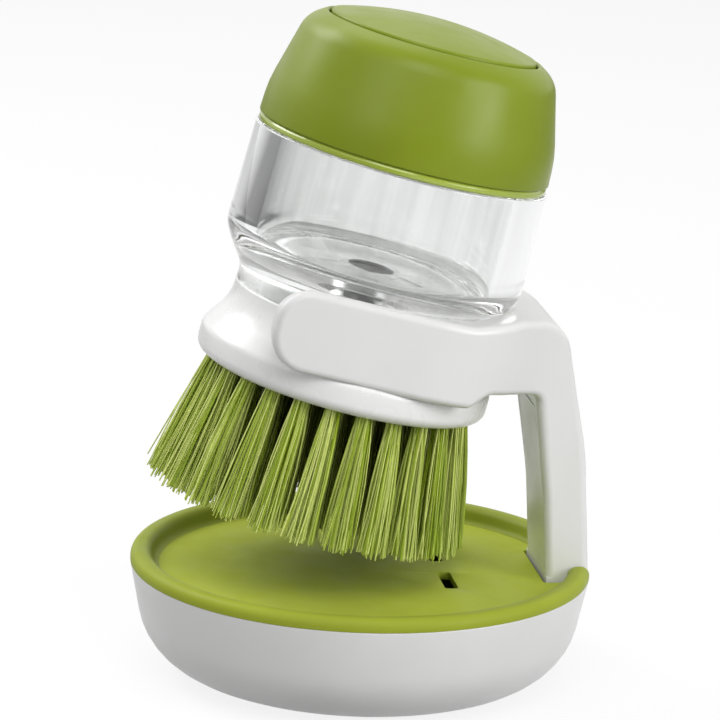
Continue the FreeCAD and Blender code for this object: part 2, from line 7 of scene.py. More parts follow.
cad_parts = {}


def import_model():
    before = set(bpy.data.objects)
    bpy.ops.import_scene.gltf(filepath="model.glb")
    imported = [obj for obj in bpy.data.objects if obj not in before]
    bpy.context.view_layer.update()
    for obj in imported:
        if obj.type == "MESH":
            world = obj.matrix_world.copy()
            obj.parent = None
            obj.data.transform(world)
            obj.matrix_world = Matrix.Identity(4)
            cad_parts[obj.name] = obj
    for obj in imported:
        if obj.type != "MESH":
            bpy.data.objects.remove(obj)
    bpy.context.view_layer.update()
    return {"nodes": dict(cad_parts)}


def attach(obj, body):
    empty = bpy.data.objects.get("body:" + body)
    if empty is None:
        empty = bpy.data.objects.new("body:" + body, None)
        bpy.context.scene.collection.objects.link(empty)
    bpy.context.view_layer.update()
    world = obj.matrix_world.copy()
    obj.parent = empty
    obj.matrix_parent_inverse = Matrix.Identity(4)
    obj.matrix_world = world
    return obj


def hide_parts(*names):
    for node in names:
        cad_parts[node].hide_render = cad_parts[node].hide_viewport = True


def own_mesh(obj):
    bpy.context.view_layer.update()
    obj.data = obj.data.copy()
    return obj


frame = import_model()
nodes = frame["nodes"]

# Fineness of the drawn surfaces
ROUND_SEGMENTS = 144
HELIX_SEGMENTS = 72
ARC_STEP = math.radians(9)
SHARP_ANGLE = math.radians(32)
SHARED_SIDE_SHARE = 0.49
WHOLE_SIDE_SHARE = 0.95
EDGE_ROUND = 0.0003
BEVEL_SEGMENTS = 3
MERGE_DISTANCE = 0.0000001
CUT_OVERRUN = 0.006
CLEARANCE = 0.0003
LEVEL_TOLERANCE = 0.00001

# Parking pose of the brush
BRUSH_TILT = math.radians(13)
PARK_SETBACK = 0.00585
PARK_HEIGHT = 0.061163

# Bowl, pad and drip tray
BASE_RADIUS = 0.0475
BOWL_HEIGHT = 0.0225
BOWL_WALL = 0.0024
BOWL_LEAN = 0.0044
BOWL_ROUND = 0.015
PAD_RADIUS = 0.027
PAD_THICKNESS = 0.0014
PAD_STANDOUT = 0.0004
PAD_RIB_COUNT = 8
PAD_RIB_DEPTH = 0.0005
TRAY_FLOOR = 0.0217
TRAY_THICKNESS = 0.0016
TRAY_RIM_TOP = 0.0251
TRAY_RIM_WIDTH = 0.004
TRAY_RIM_ROUND = 0.0019
TRAY_COVE_ROUND = 0.0016
TRAY_COVE_WIDTH = 0.001
TRAY_SKIRT_RADIUS = 0.043968
TRAY_SKIRT_WALL = 0.0018
TRAY_SKIRT_LOW = 0.0185
DRAIN_LENGTH = 0.0114
DRAIN_WIDTH = 0.0028
DRAIN_ROUND = 0.0008
DRAIN_FORWARD = 0.0168
DRAIN_SIDE = 0.0097
LEG_HALF = 0.011
LEG_INNER = 0.03721
NOTCH_GAP = 0.0006
PLUG_LOW = 0.0175
TENON_LOW = 0.0105
TENON_HALF = 0.008
TENON_THICKNESS = 0.004
SOCKET_WALL = 0.0024

# Head and tank, upright with zero at the face that carries the bristles
HEAD_UNDER_RADIUS = 0.0284
HEAD_RIM_RADIUS = 0.0304
HEAD_RIM_LOW = 0.0009
HEAD_RIM_HEIGHT = 0.0056
HEAD_RIM_ROUND = 0.0023
FLARE_RISE = 0.0064
FLARE_ROUND = 0.01
NECK_RADIUS = 0.026
HEAD_HEIGHT = 0.016
SOCKET_RADIUS = 0.0237
HEAD_FLOOR_TOP = 0.0066
PLATE_RADIUS = 0.0275
PLATE_TOP = 0.0036
VALVE_BORE = 0.006
TANK_RADIUS = 0.0309
TANK_TOP_RADIUS = 0.0304
TANK_TOP = 0.0486
TANK_EDGE_ROUND = 0.0004
WAIST_RISE = 0.0025
WAIST_DEPTH = 0.0005
WAIST_ROUND = 0.011
SHOULDER_RISE = 0.0103
SHOULDER_ROUND = 0.006
TANK_FLOOR = 0.026
FLOOR_COVE_ROUND = 0.002
FUNNEL_DROP = 0.0012
HOLLOW_TOP = 0.0222
HOLLOW_ROUND = 0.003
OUTLET_BORE = 0.0046
OUTLET_RADIUS = 0.0066
OUTLET_END = 0.0095
SPIGOT_RADIUS = 0.0236
SPIGOT_BORE = 0.0208
SPIGOT_END = 0.008
MOUTH_RADIUS = 0.0269
MOUTH_BORE = 0.0247
MOUTH_TOP = 0.0565

# Two-start screw thread on the tank's mouth
THREAD_DEPTH = 0.0008
THREAD_LEAD = 0.008
THREAD_TURNS = 0.55
THREAD_STARTS = 2
THREAD_HALF = 0.0007
THREAD_CREST_SHARE = 1 / 3
THREAD_ROOT_SHARE = 0.5
THREAD_START = 0.0503
THREAD_RUNOUT_STEPS = 8
THREAD_LEAST_SHARE = 0.1

# Cap, button and pump
CAP_RADIUS = 0.0302
CAP_BORE = 0.0281
CAP_LOW = 0.04875
CAP_EDGE = 0.05025
CAP_COLLAR_STEP = 0.00025
CAP_GROOVE_DEPTH = 0.0004
CAP_GROOVE_FALL = 0.0006
CAP_GROOVE_RISE = 0.0001
CAP_WAIST_HEIGHT = 0.006
CAP_WAIST_INSET = 0.0003
CAP_WAIST_ROUND = 0.025
CAP_TOP = 0.07105
CAP_TOP_RADIUS = 0.026
CAP_TOP_ROUND = 0.008
CROWN_EDGE = 0.07375
CAP_OPENING = 0.0217
CAP_LIP_LOW = 0.07035
CAP_CAVITY = 0.024
DECK_LOW = 0.0577
DECK_TOP = 0.0598
BUTTON_RADIUS = 0.0213
BUTTON_CROWN = 0.0031
BUTTON_WALL = 0.0018
BUTTON_EDGE_ROUND = 0.0006
BUTTON_STOP_GAP = 0.0002
BUTTON_FLANGE = 0.0019
BUTTON_FLANGE_RADIUS = 0.0232
BUTTON_BOSS = 0.008
DOME_STEPS = 24
BELLOWS_RADIUS = 0.0145
BELLOWS_FOLD = 0.0032
BELLOWS_FOLDS = 2
BELLOWS_FOLD_ROUND = 0.0006
BELLOWS_WALL = 0.0012
BELLOWS_FLANGE = 0.021
BELLOWS_TOP = 0.0698
BELLOWS_GAP = 0.0001
CLAMP_TOP = 0.0626
SPRING_RADIUS = 0.0182
SPRING_WIRE = 0.0005
SPRING_SIDES = 10
SPRING_TURNS = 4
SPRING_TOP = 0.0719

# Bristle tufts, with lists that go from the outer ring to the inner one
BRISTLE_LENGTH = 0.0266
TUFT_RINGS = (0.0257, 0.0207, 0.0157, 0.0107)
TUFT_COUNTS = (25, 20, 15, 10)
TUFT_FILAMENTS = (64, 52, 44, 40)
TUFT_NAMES = ("tufts_outer", "tufts_second", "tufts_third", "tufts_inner")
# The inner rings are painted darker: painted shade deep inside the bundle of tufts
TUFT_PAINTED_SHADE_SHARES = (1, 0.8, 0.62, 0.5)
RING_STAGGER_SHARE = 0.5
TUFT_ROOT = 0.00155
TUFT_TIP = 0.0031
TIP_SPREAD_SHARE = 1.188
FILAMENT_RADIUS = 0.0002
FILAMENT_SIDES = 4
FILAMENT_STEPS = 4
TIP_TAPER_SHARE = 0.7
TIP_SCATTER = 0.0004
TIP_UNEVEN = 0.0014
LONG_TIP_SHARE = 0.5
FILAMENT_BOW = 0.0004
STRAY_SHARE = 0.05
STRAY_SCATTER = 0.001
MOST_SCATTERS = 1.8
GOLDEN_TURN = math.pi * (3 - math.sqrt(5))
BRISTLE_SEED = 7

# Photograph: where the camera stands, and the pixel at which it sees its target
PHOTO_SIDE = 720
CAMERA_AZIMUTH = math.radians(-9)
CAMERA_ELEVATION = math.radians(16.62)
CAMERA_ROLL = math.radians(2.41)
CAMERA_DISTANCE = 0.8
CAMERA_TARGET = Vector((0, 0, BOWL_HEIGHT))
TARGET_PIXEL = (359.9, 563.1)
FOCAL_PIXELS = 3858.2
SENSOR_WIDTH = 36

# Lamps: name, turn from the front to the right and height in degrees, width and power
LAMP_DISTANCE = 1
LAMPS = (
    ("front_lamp", 0, 50, 0.5, 3),
    ("right_lamp", 52, 20, 0.5, 5.2),
    ("left_lamp", -40, 35, 0.5, 1.6),
    ("back_left_lamp", -130, 40, 0.5, 4.7),
    ("back_lamp", 180, 60, 0.6, 1.9),
)

# Surroundings: a floor with a white sweep along the middle, and a grey room with a white end
FLOOR_SIZE = 12
FLOOR_GREY = 0.35
FLOOR_WHITE = 0.95
FLOOR_ROUGHNESS = 0.9
FLOOR_GLOW_SHARE = 0.85
SWEEP_MIDDLE = 0.12
SWEEP_HALF = 0.1
SWEEP_FADE = 0.3
SWEEP_LEVELS = (1, 0.12)
ROOM_LEVEL = 0.3
BACKDROP_WAY = (0, 1, 0.2)
BACKDROP_ENDS = (-0.5, 0.5)
BACKDROP_LEVELS = (0.2, 1)

# Colours, linear light
WHITE = (0.76, 0.76, 0.755)
HEAD_WHITE = (0.84, 0.84, 0.835)
GREEN = (0.21, 0.272, 0.012)
# The collar's lighter green is a painted highlight on the band under the cap; its lower roughness is a real
# gloss
COLLAR_PAINTED_HIGHLIGHT_GREEN = (0.35, 0.44, 0.045)
TRAY_GREEN = (0.32, 0.376, 0.034)
# The tray floor's lighter green is painted light under the brush's shadow; its rougher, grainier finish is
# real
TRAY_PAINTED_LIGHT_GREEN = (0.455, 0.53, 0.054)
# The bristle plate is nearly black: painted shade in the gaps between the tuft roots
PLATE_PAINTED_SHADE_GREEN = (0.02, 0.03, 0.006)
CLEAR = (0.98, 0.99, 0.985)
INNER_WHITE = (0.6, 0.6, 0.58)
SILICONE = (0.62, 0.64, 0.62)
RUBBER = (0.03, 0.03, 0.032)
STEEL = (0.55, 0.55, 0.56)
FILAMENT_DARK = (0.33, 0.45, 0.03)
FILAMENT_LIGHT = (0.74, 0.82, 0.25)

# Finishes: a noise has a scale and a detail, and a bump has a strength and a depth
NOISE_MIDDLE = (0.3, 0.7)
FLOW_NOISE = (45, 3)
GLOSS_NOISE = (160, 4)
GLOSS_SHARES = (0.85, 1.15)
GRAIN_NOISE = (2600, 2)
GRAIN_DEPTH = 0.0001
CLEAR_IOR = 1.49
CLEAR_ROUGHNESS = 0.03
FROST_ROUGHNESS = 0.4
OUTLET_ROUGHNESS = 0.2
MOST_ECHOES = 2
STREAK_NOISE = (240, 2)
STREAK_STRETCH = 14
STREAK_SHARES = (0.82, 1)
# The outlet's clear wall is tinted nearly black: painted shade in the bore under the tank's floor
OUTLET_PAINTED_SHADE_SHARES = (0.04, 0.1)
CLEAR_GLOSS_NOISE = (120, 3)
CLEAR_GLOSS_SHARES = (0.5, 1.5)
WAVE_NOISE = (70, 1)
WAVE_BUMP = (0.06, 0.0004)
MARK_NOISE = (700, 2)
MARK_SHARES = (0.7, 1)
MARK_MIX_SHARE = 0.35
MARK_BUMP = (0.1, 0.0001)
FILAMENT_ROUGHNESS = (0.3, 0.45)
DRAWN_NOISE = (900, 3)
DRAWN_SHARES = (0.85, 1.1)
DRAWN_BUMP = (0.1, 0.0001)
STEEL_ROUGHNESS = (0.2, 0.35)

# Moulded finishes: colour, roughness, share that the colour varies by, strength of the grain and sheen
MOULDED = {
    "white_plastic": (WHITE, 0.34, 0.02, 0.1, 0.5),
    "head_plastic": (HEAD_WHITE, 0.28, 0.015, 0.08, 0.5),
    "green_plastic": (GREEN, 0.36, 0.05, 0.12, 0.3),
    "collar_painted_highlight_plastic": (COLLAR_PAINTED_HIGHLIGHT_GREEN, 0.14, 0.05, 0.1, 0.8),
    "tray_plastic": (TRAY_GREEN, 0.45, 0.06, 0.14, 0.12),
    "tray_frosted_painted_light_plastic": (TRAY_PAINTED_LIGHT_GREEN, 0.55, 0.06, 0.3, 0.12),
    "plate_painted_shade_plastic": (PLATE_PAINTED_SHADE_GREEN, 0.5, 0.1, 0.15, 0.5),
    "inner_plastic": (INNER_WHITE, 0.45, 0.04, 0.15, 0.5),
    "silicone": (SILICONE, 0.5, 0.05, 0.2, 0.5),
    "pad_rubber": (RUBBER, 0.7, 0.15, 0.4, 0.5),
}

park = Matrix.Translation((-PARK_SETBACK, 0, PARK_HEIGHT)) @ Matrix.Rotation(BRUSH_TILT, 4, "Y")


def arc_points(before, corner, after):
    """Points of the arc that rounds the middle one of three (radius, height, round) corners."""
    point = Vector(corner[:2])
    back = Vector(before[:2]) - point
    ahead = Vector(after[:2]) - point
    half = back.angle(ahead) / 2
    reach = min(
        back.length * (SHARED_SIDE_SHARE if before[2] > EDGE_ROUND else WHOLE_SIDE_SHARE),
        ahead.length * (SHARED_SIDE_SHARE if after[2] > EDGE_ROUND else WHOLE_SIDE_SHARE),
    )
    tangent = min(corner[2] / math.tan(half), reach)
    inward = (back.normalized() + ahead.normalized()).normalized()
    centre = point + inward * (tangent / math.cos(half))
    first = point + back.normalized() * tangent - centre
    last = point + ahead.normalized() * tangent - centre
    swing = first.angle_signed(last)
    steps = max(2, math.ceil(abs(swing) / ARC_STEP))
    return [centre + Matrix.Rotation(-swing * i / steps, 2) @ first for i in range(steps + 1)]


def outline(corners):
    """Closed outline through (x, y, round) corners, round zero for a sharp one."""
    points = []
    for i, corner in enumerate(corners):
        if corner[2]:
            points.extend(arc_points(corners[i - 1], corner, corners[(i + 1) % len(corners)]))
        else:
            points.append(Vector(corner[:2]))
    return points


def add_mesh(name, vertices, faces):
    """New object with a mesh, smooth apart from its sharp edges."""
    mesh = bpy.data.meshes.new(name)
    mesh.from_pydata(vertices, [], faces)
    made = bmesh.new()
    made.from_mesh(mesh)
    bmesh.ops.remove_doubles(made, verts=made.verts, dist=MERGE_DISTANCE)
    bmesh.ops.recalc_face_normals(made, faces=made.faces)
    made.to_mesh(mesh)
    made.free()
    mesh.shade_smooth()
    mesh.set_sharp_from_angle(angle=SHARP_ANGLE)
    piece = bpy.data.objects.new(name, mesh)
    bpy.context.scene.collection.objects.link(piece)
    return piece


def lathe(name, corners):
    """Turned piece from the outline of its section."""
    points = outline(corners)
    count = len(points)
    vertices = []
    faces = []
    for radius, height in points:
        for j in range(ROUND_SEGMENTS):
            turn = 2 * math.pi * j / ROUND_SEGMENTS
            vertices.append((radius * math.cos(turn), radius * math.sin(turn), height))
    for i in range(count):
        after = (i + 1) % count
        if points[i].x == 0 and points[after].x == 0:
            continue
        for j in range(ROUND_SEGMENTS):
            k = (j + 1) % ROUND_SEGMENTS
            corner = (i * ROUND_SEGMENTS, after * ROUND_SEGMENTS)
            faces.append((corner[0] + j, corner[0] + k, corner[1] + k, corner[1] + j))
    return add_mesh(name, vertices, faces)


def prism(name, corners, low, high):
    """Upright piece with the same rounded outline from bottom to top."""
    points = outline(corners)
    count = len(points)
    vertices = [(x, y, z) for z in (low, high) for x, y in points]
    faces = [tuple(range(count)), tuple(range(count, 2 * count))]
    for i in range(count):
        after = (i + 1) % count
        faces.append((i, after, count + after, count + i))
    return add_mesh(name, vertices, faces)


def tube(name, path, radius, sides):
    """Closed round wire along a path of points about the Z axis."""
    vertices = []
    faces = []
    for i, point in enumerate(path):
        way = (path[min(i + 1, len(path) - 1)] - path[max(i - 1, 0)]).normalized()
        across = way.cross(Vector((0, 0, 1))).normalized()
        upward = across.cross(way)
        for j in range(sides):
            turn = 2 * math.pi * j / sides
            vertices.append(point + (across * math.cos(turn) + upward * math.sin(turn)) * radius)
    for i in range(len(path) - 1):
        for j in range(sides):
            k = (j + 1) % sides
            faces.append((i * sides + j, i * sides + k, (i + 1) * sides + k, (i + 1) * sides + j))
    faces.append(tuple(range(sides)))
    faces.append(tuple(range((len(path) - 1) * sides, len(path) * sides)))
    return add_mesh(name, vertices, faces)


def helix(radius, low, pitch, turns):
    """Points along a helix about the Z axis."""
    steps = math.ceil(turns * HELIX_SEGMENTS)
    points = []
    for i in range(steps + 1):
        share = i / steps
        turn = 2 * math.pi * turns * share
        height = low + pitch * turns * share
        points.append(Vector((radius * math.cos(turn), radius * math.sin(turn), height)))
    return points


def cut(piece, cutters, operations):
    """Cut a piece by each cutter in its own way, bevel the sharp edges and remove the cutters."""
    for cutter, operation in zip(cutters, operations):
        modifier = piece.modifiers.new("cut", "BOOLEAN")
        modifier.operation = operation
        modifier.solver = "EXACT"
        modifier.object = cutter
    bevel = piece.modifiers.new("bevel", "BEVEL")
    bevel.width = EDGE_ROUND
    bevel.segments = BEVEL_SEGMENTS
    bevel.limit_method = "ANGLE"
    bevel.angle_limit = SHARP_ANGLE
    bpy.context.view_layer.update()
    evaluated = piece.evaluated_get(bpy.context.evaluated_depsgraph_get())
    mesh = bpy.data.meshes.new_from_object(evaluated)
    piece.modifiers.clear()
    piece.data = mesh
    mesh.shade_smooth()
    mesh.set_sharp_from_angle(angle=SHARP_ANGLE)
    for cutter in cutters:
        bpy.data.objects.remove(cutter)


def place(piece, body, slot, material, *replaced):
    """Let a piece ride on a body, in place of CAD nodes, with its material; the slot is not used."""
    piece.data.materials.clear()
    piece.data.materials.append(material)
    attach(piece, body)
    if replaced:
        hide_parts(*replaced)
    return piece


def refinish(piece, material, chosen, to_frame=Matrix()):
    """Give the faces whose radius and height in a frame pass a test another finish."""
    piece.data.materials.append(material)
    index = len(piece.data.materials) - 1
    for face in piece.data.polygons:
        middle = to_frame @ face.center
        if chosen(math.hypot(middle.x, middle.y), middle.z):
            face.material_index = index


def on_brush(piece):
    """Move a piece from the upright brush frame to the parking pose."""
    piece.data.transform(park)
    return piece


def scaled(colour, factor):
    """A colour made darker or lighter, with full opacity."""
    return (*(min(1, channel * factor) for channel in colour), 1)


def material_base(name):
    """New material, with its node tree, its shader and its object coordinates."""
    material = bpy.data.materials.new(name)
    material.use_nodes = True
    tree = material.node_tree
    shader = tree.nodes["Principled BSDF"]
    coordinates = tree.nodes.new("ShaderNodeTexCoord").outputs["Object"]
    return material, tree, shader, coordinates


def noise(tree, coordinates, kind):
    """Noise of a scale and detail over some coordinates."""
    node = tree.nodes.new("ShaderNodeTexNoise")
    node.inputs["Scale"].default_value = kind[0]
    node.inputs["Detail"].default_value = kind[1]
    tree.links.new(coordinates, node.inputs["Vector"])
    return node.outputs["Fac"]


def colour_ramp(tree, factor, low, high):
    """Blend between two colours over the middle of a noise."""
    ramp = tree.nodes.new("ShaderNodeValToRGB")
    ramp.color_ramp.elements[0].position = NOISE_MIDDLE[0]
    ramp.color_ramp.elements[0].color = low
    ramp.color_ramp.elements[1].position = NOISE_MIDDLE[1]
    ramp.color_ramp.elements[1].color = high
    tree.links.new(factor, ramp.inputs["Fac"])
    return ramp.outputs["Color"]


def mapped(tree, value, before, after):
    """Map a value from one range onto another."""
    node = tree.nodes.new("ShaderNodeMapRange")
    node.inputs["From Min"].default_value = before[0]
    node.inputs["From Max"].default_value = before[1]
    node.inputs["To Min"].default_value = after[0]
    node.inputs["To Max"].default_value = after[1]
    tree.links.new(value, node.inputs["Value"])
    return node.outputs["Result"]


def value_range(tree, factor, low, high):
    """Map the middle of a noise onto a range of values."""
    return mapped(tree, factor, NOISE_MIDDLE, (low, high))


def bump(tree, height, strength, depth):
    """Normal from a height."""
    node = tree.nodes.new("ShaderNodeBump")
    node.inputs["Strength"].default_value = strength
    node.inputs["Distance"].default_value = depth
    tree.links.new(height, node.inputs["Height"])
    return node.outputs["Normal"]


def moulded(name, colour, roughness, variation, grain, sheen):
    """Moulded plastic or rubber: faint flow marks in the colour, uneven gloss and a fine grain."""
    material, tree, shader, coordinates = material_base(name)
    flow = noise(tree, coordinates, FLOW_NOISE)
    tint = colour_ramp(tree, flow, scaled(colour, 1 - variation), scaled(colour, 1 + variation))
    gloss_ends = [roughness * share for share in GLOSS_SHARES]
    gloss = value_range(tree, noise(tree, coordinates, GLOSS_NOISE), *gloss_ends)
    normal = bump(tree, noise(tree, coordinates, GRAIN_NOISE), grain, GRAIN_DEPTH)
    tree.links.new(tint, shader.inputs["Base Color"])
    tree.links.new(gloss, shader.inputs["Roughness"])
    tree.links.new(normal, shader.inputs["Normal"])
    shader.inputs["Specular IOR Level"].default_value = sheen
    return material


def either(tree, signals):
    """One where any of the signals is one."""
    total = signals[0]
    for signal in signals[1:]:
        node = tree.nodes.new("ShaderNodeMath")
        node.operation = "MAXIMUM"
        tree.links.new(total, node.inputs[0])
        tree.links.new(signal, node.inputs[1])
        total = node.outputs[0]
    return total


def clear_plastic(name, roughness, shares):
    """Clear plastic, streaked along the brush and faintly wavy, that lets light straight through."""
    material, tree, shader, coordinates = material_base(name)
    upright = tree.nodes.new("ShaderNodeMapping")
    upright.vector_type = "TEXTURE"
    upright.inputs["Rotation"].default_value = (0, BRUSH_TILT, 0)
    upright.inputs["Scale"].default_value = (1, 1, STREAK_STRETCH)
    tree.links.new(coordinates, upright.inputs["Vector"])
    streaks = noise(tree, upright.outputs["Vector"], STREAK_NOISE)
    tint = colour_ramp(tree, streaks, *(scaled(CLEAR, share) for share in shares))
    gloss_ends = [roughness * share for share in CLEAR_GLOSS_SHARES]
    gloss = value_range(tree, noise(tree, coordinates, CLEAR_GLOSS_NOISE), *gloss_ends)
    normal = bump(tree, noise(tree, coordinates, WAVE_NOISE), *WAVE_BUMP)
    tree.links.new(tint, shader.inputs["Base Color"])
    tree.links.new(gloss, shader.inputs["Roughness"])
    tree.links.new(normal, shader.inputs["Normal"])
    shader.inputs["Transmission Weight"].default_value = 1
    shader.inputs["IOR"].default_value = CLEAR_IOR
    path = tree.nodes.new("ShaderNodeLightPath")
    echoed = tree.nodes.new("ShaderNodeMath")
    echoed.operation = "GREATER_THAN"
    echoed.inputs[1].default_value = MOST_ECHOES
    tree.links.new(path.outputs["Glossy Depth"], echoed.inputs[0])
    scattered = [path.outputs["Is Shadow Ray"], path.outputs["Is Diffuse Ray"]]
    unbent = either(tree, [*scattered, echoed.outputs[0]])
    through = tree.nodes.new("ShaderNodeBsdfTransparent")
    mix = tree.nodes.new("ShaderNodeMixShader")
    tree.links.new(unbent, mix.inputs["Fac"])
    tree.links.new(shader.outputs[0], mix.inputs[1])
    tree.links.new(through.outputs[0], mix.inputs[2])
    tree.links.new(mix.outputs[0], tree.nodes["Material Output"].inputs["Surface"])
    return material


def filament(name, shade):
    """Nylon filaments, each with a tone of its own and fine marks along it, darkened by a share of painted
    shade.
    """
    material, tree, shader, coordinates = material_base(name)
    own = tree.nodes.new("ShaderNodeNewGeometry").outputs["Random Per Island"]
    tone = colour_ramp(tree, own, scaled(FILAMENT_DARK, shade), scaled(FILAMENT_LIGHT, shade))
    marks = noise(tree, coordinates, MARK_NOISE)
    mix = tree.nodes.new("ShaderNodeMixRGB")
    mix.blend_type = "MULTIPLY"
    mix.inputs["Fac"].default_value = MARK_MIX_SHARE
    tree.links.new(tone, mix.inputs["Color1"])
    tree.links.new(value_range(tree, marks, *MARK_SHARES), mix.inputs["Color2"])
    tree.links.new(mix.outputs["Color"], shader.inputs["Base Color"])
    tree.links.new(value_range(tree, marks, *FILAMENT_ROUGHNESS), shader.inputs["Roughness"])
    tree.links.new(bump(tree, marks, *MARK_BUMP), shader.inputs["Normal"])
    return material


def spring_steel(name):
    """Drawn spring wire."""
    material, tree, shader, coordinates = material_base(name)
    drawn = noise(tree, coordinates, DRAWN_NOISE)
    tint = colour_ramp(tree, drawn, *(scaled(STEEL, share) for share in DRAWN_SHARES))
    tree.links.new(tint, shader.inputs["Base Color"])
    tree.links.new(value_range(tree, drawn, *STEEL_ROUGHNESS), shader.inputs["Roughness"])
    tree.links.new(bump(tree, drawn, *DRAWN_BUMP), shader.inputs["Normal"])
    shader.inputs["Metallic"].default_value = 1
    return material


def bowl_section():
    """Section of the bowl with its hollow and the recess for the pad."""
    low = PAD_STANDOUT
    return [
        (0, PAD_THICKNESS, 0),
        (PAD_RADIUS + CLEARANCE, PAD_THICKNESS, 0),
        (PAD_RADIUS + CLEARANCE, low, EDGE_ROUND),
        (BASE_RADIUS - BOWL_LEAN, low, BOWL_ROUND),
        (BASE_RADIUS, BOWL_HEIGHT, EDGE_ROUND),
        (BASE_RADIUS - BOWL_WALL, BOWL_HEIGHT, EDGE_ROUND),
        (BASE_RADIUS - BOWL_LEAN - BOWL_WALL, low + BOWL_WALL, BOWL_ROUND - BOWL_WALL),
        (0, low + BOWL_WALL, 0),
    ]


def pad_section():
    """Section of the pad with rings moulded into its foot."""
    corners = [(0, PAD_THICKNESS, 0), (PAD_RADIUS, PAD_THICKNESS, 0), (PAD_RADIUS, 0, EDGE_ROUND)]
    step = PAD_RADIUS / (2 * PAD_RIB_COUNT + 1)
    for i in range(2 * PAD_RIB_COUNT, 0, -1):
        heights = (0, PAD_RIB_DEPTH) if i % 2 == 0 else (PAD_RIB_DEPTH, 0)
        corners.extend((i * step, height, 0) for height in heights)
    return corners + [(0, 0, 0)]


def tray_section():
    """Section of the drip tray: floor, skirt and bead rim."""
    floor_low = TRAY_FLOOR - TRAY_THICKNESS
    rim_inner = BASE_RADIUS - TRAY_RIM_WIDTH
    return [
        (0, floor_low, 0),
        (TRAY_SKIRT_RADIUS - TRAY_SKIRT_WALL, floor_low, 0),
        (TRAY_SKIRT_RADIUS - TRAY_SKIRT_WALL, TRAY_SKIRT_LOW, 0),
        (TRAY_SKIRT_RADIUS, TRAY_SKIRT_LOW, 0),
        (TRAY_SKIRT_RADIUS, BOWL_HEIGHT, 0),
        (BASE_RADIUS, BOWL_HEIGHT, 0),
        (BASE_RADIUS, TRAY_RIM_TOP, TRAY_RIM_ROUND),
        (rim_inner, TRAY_RIM_TOP, TRAY_RIM_ROUND),
        (rim_inner - TRAY_COVE_WIDTH, TRAY_FLOOR, TRAY_COVE_ROUND),
        (0, TRAY_FLOOR, 0),
    ]


def head_section():
    """Section of the flared head with its sockets for the tank and the plate."""
    return [
        (HEAD_UNDER_RADIUS, 0, EDGE_ROUND),
        (HEAD_RIM_RADIUS, HEAD_RIM_LOW, HEAD_RIM_ROUND),
        (HEAD_RIM_RADIUS, HEAD_RIM_HEIGHT, HEAD_RIM_ROUND),
        (NECK_RADIUS, HEAD_RIM_HEIGHT + FLARE_RISE, FLARE_ROUND),
        (NECK_RADIUS, HEAD_HEIGHT, EDGE_ROUND),
        (SOCKET_RADIUS, HEAD_HEIGHT, EDGE_ROUND),
        (SOCKET_RADIUS, HEAD_FLOOR_TOP, EDGE_ROUND),
        (VALVE_BORE, HEAD_FLOOR_TOP, EDGE_ROUND),
        (VALVE_BORE, PLATE_TOP, 0),
        (PLATE_RADIUS, PLATE_TOP, 0),
        (PLATE_RADIUS, 0, EDGE_ROUND),
    ]


def tank_section():
    """Section of the clear tank: neck, wall and mouth, then down the inside to its outlet and spigot."""
    return [
        (NECK_RADIUS, HEAD_HEIGHT, EDGE_ROUND),
        (NECK_RADIUS - WAIST_DEPTH, HEAD_HEIGHT + WAIST_RISE, WAIST_ROUND),
        (TANK_RADIUS, HEAD_HEIGHT + SHOULDER_RISE, SHOULDER_ROUND),
        (TANK_TOP_RADIUS, TANK_TOP, TANK_EDGE_ROUND),
        (MOUTH_RADIUS, TANK_TOP, EDGE_ROUND),
        (MOUTH_RADIUS, MOUTH_TOP, EDGE_ROUND),
        (MOUTH_BORE, MOUTH_TOP, EDGE_ROUND),
        (MOUTH_BORE, TANK_FLOOR, FLOOR_COVE_ROUND),
        (OUTLET_BORE, TANK_FLOOR - FUNNEL_DROP, EDGE_ROUND),
        (OUTLET_BORE, HOLLOW_TOP, 0),
        (OUTLET_BORE, OUTLET_END, EDGE_ROUND),
        (OUTLET_RADIUS, OUTLET_END, EDGE_ROUND),
        (OUTLET_RADIUS, HOLLOW_TOP, 0),
        (SPIGOT_BORE, HOLLOW_TOP, HOLLOW_ROUND),
        (SPIGOT_BORE, SPIGOT_END, EDGE_ROUND),
        (SPIGOT_RADIUS, SPIGOT_END, EDGE_ROUND),
        (SPIGOT_RADIUS, HEAD_HEIGHT, EDGE_ROUND),
    ]


def cap_section():
    """Section of the screw cap with its deck and the opening for the button."""
    return [
        (CAP_BORE, CAP_LOW, EDGE_ROUND),
        (CAP_RADIUS - CAP_COLLAR_STEP, CAP_LOW, EDGE_ROUND),
        (CAP_RADIUS - CAP_COLLAR_STEP, CAP_EDGE - CAP_GROOVE_FALL, EDGE_ROUND),
        (CAP_RADIUS - CAP_COLLAR_STEP - CAP_GROOVE_DEPTH, CAP_EDGE, 0),
        (CAP_RADIUS, CAP_EDGE + CAP_GROOVE_RISE, EDGE_ROUND),
        (CAP_RADIUS - CAP_WAIST_INSET, CAP_EDGE + CAP_WAIST_HEIGHT, CAP_WAIST_ROUND),
        (CAP_TOP_RADIUS, CAP_TOP, CAP_TOP_ROUND),
        (CAP_OPENING, CROWN_EDGE, BUTTON_EDGE_ROUND),
        (CAP_OPENING, CAP_LIP_LOW, EDGE_ROUND),
        (CAP_CAVITY, CAP_LIP_LOW, 0),
        (CAP_CAVITY, DECK_TOP, 0),
        (BELLOWS_RADIUS, DECK_TOP, 0),
        (BELLOWS_RADIUS, DECK_LOW, 0),
        (CAP_BORE, DECK_LOW, 0),
    ]


def dome(radius, height, inset):
    """Corners across the button's domed face or its underside, from the rim to the middle."""
    ball = (BUTTON_RADIUS ** 2 + BUTTON_CROWN ** 2) / (2 * BUTTON_CROWN)
    corners = []
    for i in range(1, DOME_STEPS + 1):
        across = radius * (1 - i / DOME_STEPS)
        rise = math.sqrt((ball - inset) ** 2 - across ** 2) - ball
        corners.append((across, height + rise, 0))
    return corners


